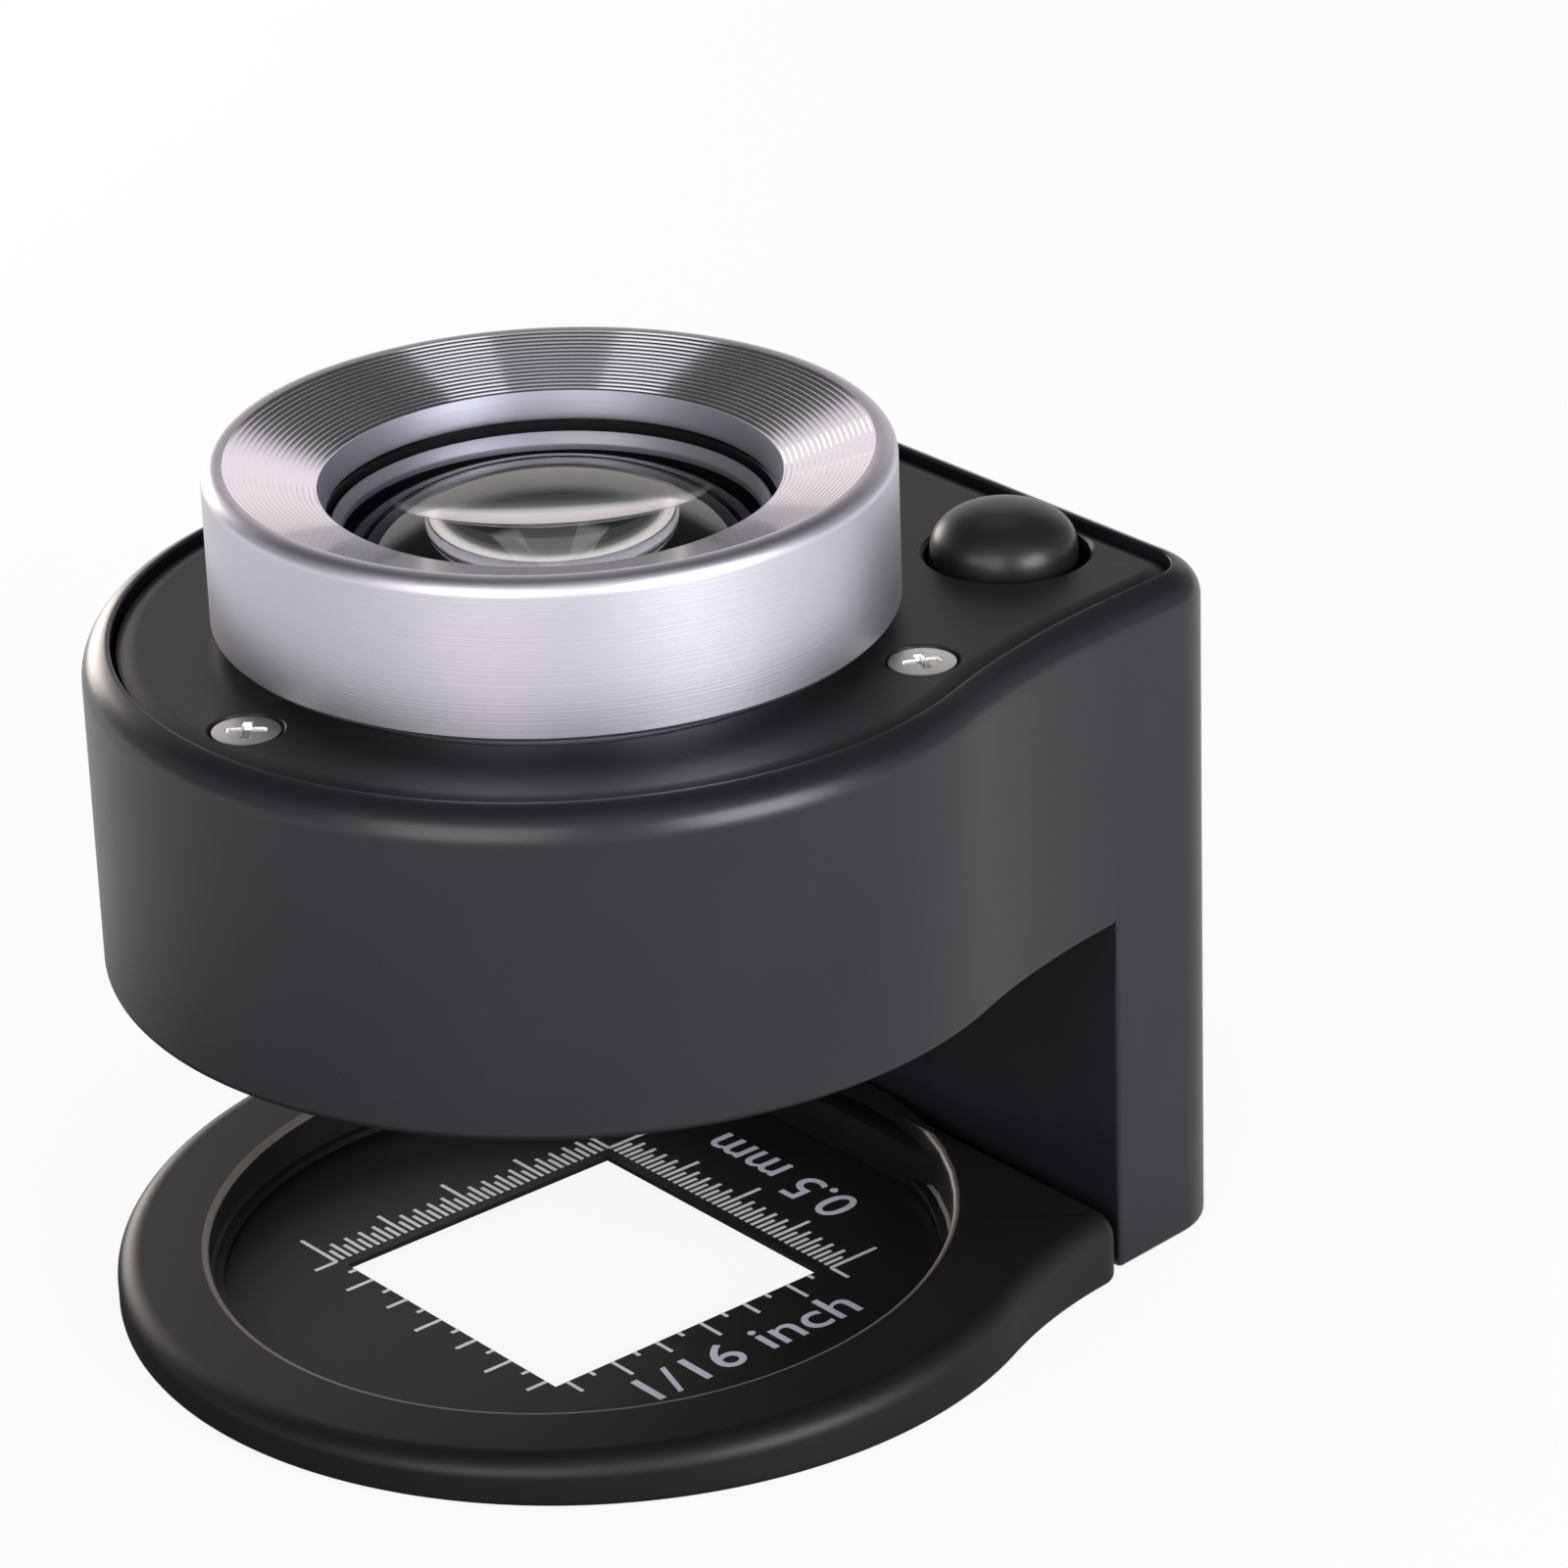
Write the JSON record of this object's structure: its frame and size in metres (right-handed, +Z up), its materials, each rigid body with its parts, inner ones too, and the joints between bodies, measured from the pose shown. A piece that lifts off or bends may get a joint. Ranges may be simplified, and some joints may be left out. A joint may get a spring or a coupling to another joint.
{
  "type": "linen tester magnifier",
  "caption": "Stand magnifier with a focusing metal eyepiece in a lit black head, a rear leg and a base plate with a square scale window.",
  "frame": {"origin": "middle of the footprint, on the surface that the base rests on", "axes": "+Z up along the optical axis, -Y towards the round front, +Y towards the leg, +X towards the side of the push button"},
  "size_m": [0.0534, 0.0578, 0.0502],
  "materials": {
    "black_plastic": "satin",
    "printed_plastic": "satin, printed in white",
    "turned_aluminium": "satin, finely turned",
    "black_anodised": "satin black",
    "nickel": "nickel plated",
    "lens_glass": "polished",
    "board_laminate": "satin green",
    "cell_steel": "bright",
    "contact_brass": "satin",
    "lamp_resin": "clear resin",
    "switch_plastic": "semi gloss",
    "black_wire": "insulated wire",
    "red_wire": "insulated wire"
  },
  "bodies": {
    "housing": {"housing_shell": "black_plastic", "top_cover": "black_plastic", "cover_screw_1": "nickel", "cover_screw_2": "nickel", "cover_screw_3": "nickel", "base_plate": "black_plastic", "base_screw_1": "nickel", "base_screw_2": "nickel", "scale_disc": "printed_plastic", "threaded_collar": "black_anodised", "switch_body": "switch_plastic", "circuit_board": "board_laminate", "led_left": "lamp_resin", "led_right": "lamp_resin", "series_resistor": "switch_plastic", "battery_holder": "black_plastic", "battery_cell_1": "cell_steel", "battery_cell_2": "cell_steel", "battery_cell_3": "cell_steel", "battery_contact_bottom": "contact_brass", "battery_contact_top": "contact_brass", "wire_black": "black_wire", "wire_red": "red_wire"},
    "lens_group": {"lens_cell": "black_anodised", "upper_lens": "lens_glass", "lens_spacer": "black_anodised", "lower_lens": "lens_glass", "upper_retaining_ring": "turned_aluminium", "lower_retaining_ring": "black_anodised"},
    "barrel": {"focus_barrel": "turned_aluminium", "cell_retainer": "black_anodised"},
    "push_button": {"button_cap": "black_plastic", "switch_plunger": "switch_plastic"}
  },
  "joints": [
    {"name": "lens_rise", "type": "slide", "parent": "housing", "child": "lens_group", "axis": [0, 0, 1], "range_m": [-0.0005, 0.0015]},
    {"name": "barrel_turn", "type": "hinge", "parent": "lens_group", "child": "barrel", "pos_m": [0, -0.00215, 0.045], "axis": [0, 0, 1], "range_deg": [-180, 540]},
    {"name": "button_press", "type": "slide", "parent": "housing", "child": "push_button", "axis": [0, 0, -1], "range_m": [0, 0.0012], "stiffness_N_per_m": 250, "springref_m": -0.0008}
  ],
  "couplings": [
    {"joint": "lens_rise", "follows": "barrel_turn", "m_per_rad": 0.000159}
  ]
}
